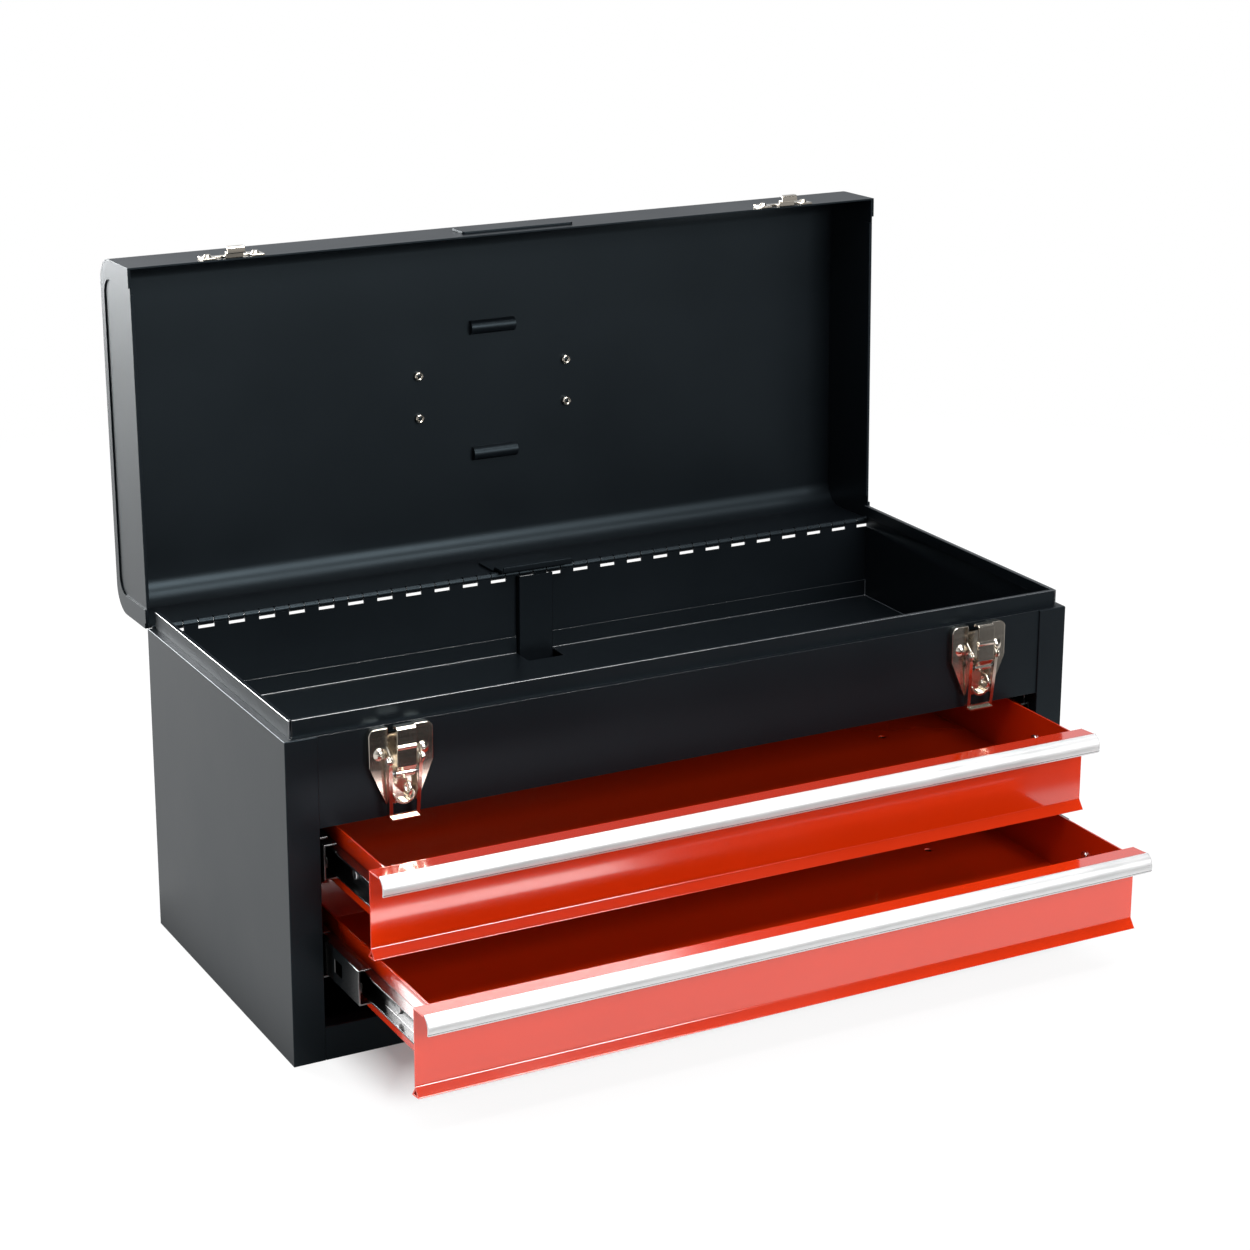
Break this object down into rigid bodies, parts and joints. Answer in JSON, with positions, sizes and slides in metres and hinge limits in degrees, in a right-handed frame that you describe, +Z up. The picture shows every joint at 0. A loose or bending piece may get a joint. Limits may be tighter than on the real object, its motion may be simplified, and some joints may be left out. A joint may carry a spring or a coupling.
{
  "type": "portable tool box with drawers",
  "caption": "Portable steel tool box with a lift-up lid, tote tray, lever latches, a folding carrying handle and drawers on ball-bearing slides.",
  "frame": {"origin": "middle of the base, on the surface the box stands on", "axes": "+X along the box to its right end, +Y towards the hinge side, +Z up; the lid stands open and both drawers are out"},
  "size_m": [0.51, 0.4187, 0.4135],
  "materials": {
    "black_paint": "satin black powder coat",
    "red_paint": "gloss red paint",
    "trim": "satin drawn aluminium",
    "nickel": "bright nickel plate",
    "zinc": "dark zinc plate",
    "bright_steel": "bright steel",
    "grip": "matte black moulded grip"
  },
  "bodies": {
    "cabinet": {"left_side": "black_paint", "right_side": "black_paint", "back_panel": "black_paint", "bottom_panel": "black_paint", "front_sill": "black_paint", "fascia": "black_paint", "tote_tray": "black_paint", "slide_bracket_left": "zinc", "slide_bracket_right": "zinc", "hinge_pin": "bright_steel", "upper_cabinet_rail_left": "zinc", "upper_cabinet_rail_right": "zinc", "lower_cabinet_rail_left": "zinc", "lower_cabinet_rail_right": "zinc", "latch_base_left": "nickel", "latch_base_right": "nickel", "latch_rivets": "nickel", "latch_pivots": "bright_steel", "lock_bar_guides": "zinc", "lock_spring": "bright_steel"},
    "lid": {"lid_shell": "black_paint", "lid_end_left": "black_paint", "lid_end_right": "black_paint", "striker_left": "nickel", "striker_right": "nickel", "lid_rivets": "nickel", "badge_plate": "black_paint", "handle_bracket_left": "nickel", "handle_bracket_right": "nickel", "lock_push_plate": "black_paint"},
    "handle": {"handle_bail": "nickel", "handle_grip": "grip"},
    "lock_bar": {"lock_bar": "black_paint"},
    "upper_drawer": {"upper_drawer_box": "red_paint", "upper_drawer_front": "red_paint", "upper_drawer_pull": "trim", "upper_drawer_rail_left": "zinc", "upper_drawer_rail_right": "zinc", "upper_drawer_screws": "bright_steel"},
    "upper_middle": {"upper_middle_rail_left": "zinc", "upper_middle_rail_right": "zinc"},
    "upper_inner_race": {"upper_inner_balls": "bright_steel"},
    "upper_outer_race": {"upper_outer_balls": "bright_steel"},
    "lower_drawer": {"lower_drawer_box": "red_paint", "lower_drawer_front": "red_paint", "lower_drawer_pull": "trim", "lower_drawer_rail_left": "zinc", "lower_drawer_rail_right": "zinc", "lower_drawer_screws": "bright_steel"},
    "lower_middle": {"lower_middle_rail_left": "zinc", "lower_middle_rail_right": "zinc"},
    "lower_inner_race": {"lower_inner_balls": "bright_steel"},
    "lower_outer_race": {"lower_outer_balls": "bright_steel"},
    "latch_lever_left": {"latch_lever_left": "nickel"},
    "latch_claw_left": {"latch_claw_left": "nickel"},
    "latch_lever_right": {"latch_lever_right": "nickel"},
    "latch_claw_right": {"latch_claw_right": "nickel"}
  },
  "joints": [
    {"name": "lid_hinge", "type": "hinge", "parent": "cabinet", "child": "lid", "pos_m": [0, 0.11045, 0.189], "axis": [1, 0, 0], "range_deg": [0, 91.4]},
    {"name": "handle_hinge", "type": "hinge", "parent": "lid", "child": "handle", "pos_m": [0, 0.17078, 0.29608], "axis": [1, 0, 0], "range_deg": [0, 167]},
    {"name": "lock_bar_slide", "type": "slide", "parent": "cabinet", "child": "lock_bar", "axis": [0, 0, -1], "range_m": [0, 0.01], "deforming": ["lock_spring"]},
    {"name": "upper_drawer_slide", "type": "slide", "parent": "cabinet", "child": "upper_drawer", "axis": [0, -1, 0], "range_m": [-0.0545, 0.0955]},
    {"name": "upper_middle_slide", "type": "slide", "parent": "cabinet", "child": "upper_middle", "axis": [0, -1, 0], "range_m": [-0.02725, 0.04775]},
    {"name": "upper_inner_race_slide", "type": "slide", "parent": "cabinet", "child": "upper_inner_race", "axis": [0, -1, 0], "range_m": [-0.04088, 0.07162]},
    {"name": "upper_outer_race_slide", "type": "slide", "parent": "cabinet", "child": "upper_outer_race", "axis": [0, -1, 0], "range_m": [-0.01362, 0.02388]},
    {"name": "lower_drawer_slide", "type": "slide", "parent": "cabinet", "child": "lower_drawer", "axis": [0, -1, 0], "range_m": [-0.109, 0.041]},
    {"name": "lower_middle_slide", "type": "slide", "parent": "cabinet", "child": "lower_middle", "axis": [0, -1, 0], "range_m": [-0.0545, 0.0205]},
    {"name": "lower_inner_race_slide", "type": "slide", "parent": "cabinet", "child": "lower_inner_race", "axis": [0, -1, 0], "range_m": [-0.08175, 0.03075]},
    {"name": "lower_outer_race_slide", "type": "slide", "parent": "cabinet", "child": "lower_outer_race", "axis": [0, -1, 0], "range_m": [-0.02725, 0.01025]},
    {"name": "latch_lever_left_hinge", "type": "hinge", "parent": "cabinet", "child": "latch_lever_left", "pos_m": [-0.189, -0.117, 0.172], "axis": [-1, 0, 0], "range_deg": [0, 160]},
    {"name": "latch_claw_left_hinge", "type": "hinge", "parent": "latch_lever_left", "child": "latch_claw_left", "pos_m": [-0.189, -0.116, 0.164], "axis": [-1, 0, 0], "range_deg": [-160, 0]},
    {"name": "latch_lever_right_hinge", "type": "hinge", "parent": "cabinet", "child": "latch_lever_right", "pos_m": [0.189, -0.117, 0.172], "axis": [-1, 0, 0], "range_deg": [0, 160]},
    {"name": "latch_claw_right_hinge", "type": "hinge", "parent": "latch_lever_right", "child": "latch_claw_right", "pos_m": [0.189, -0.116, 0.164], "axis": [-1, 0, 0], "range_deg": [-160, 0]}
  ],
  "couplings": [
    {"joint": "lock_bar_slide", "follows": "lid_hinge", "m_per_rad": 0.006268},
    {"joint": "upper_middle_slide", "follows": "upper_drawer_slide", "ratio": 0.5},
    {"joint": "upper_inner_race_slide", "follows": "upper_drawer_slide", "ratio": 0.75},
    {"joint": "upper_outer_race_slide", "follows": "upper_drawer_slide", "ratio": 0.25},
    {"joint": "lower_middle_slide", "follows": "lower_drawer_slide", "ratio": 0.5},
    {"joint": "lower_inner_race_slide", "follows": "lower_drawer_slide", "ratio": 0.75},
    {"joint": "lower_outer_race_slide", "follows": "lower_drawer_slide", "ratio": 0.25},
    {"joint": "latch_claw_left_hinge", "follows": "latch_lever_left_hinge", "ratio": -1},
    {"joint": "latch_claw_right_hinge", "follows": "latch_lever_right_hinge", "ratio": -1}
  ]
}
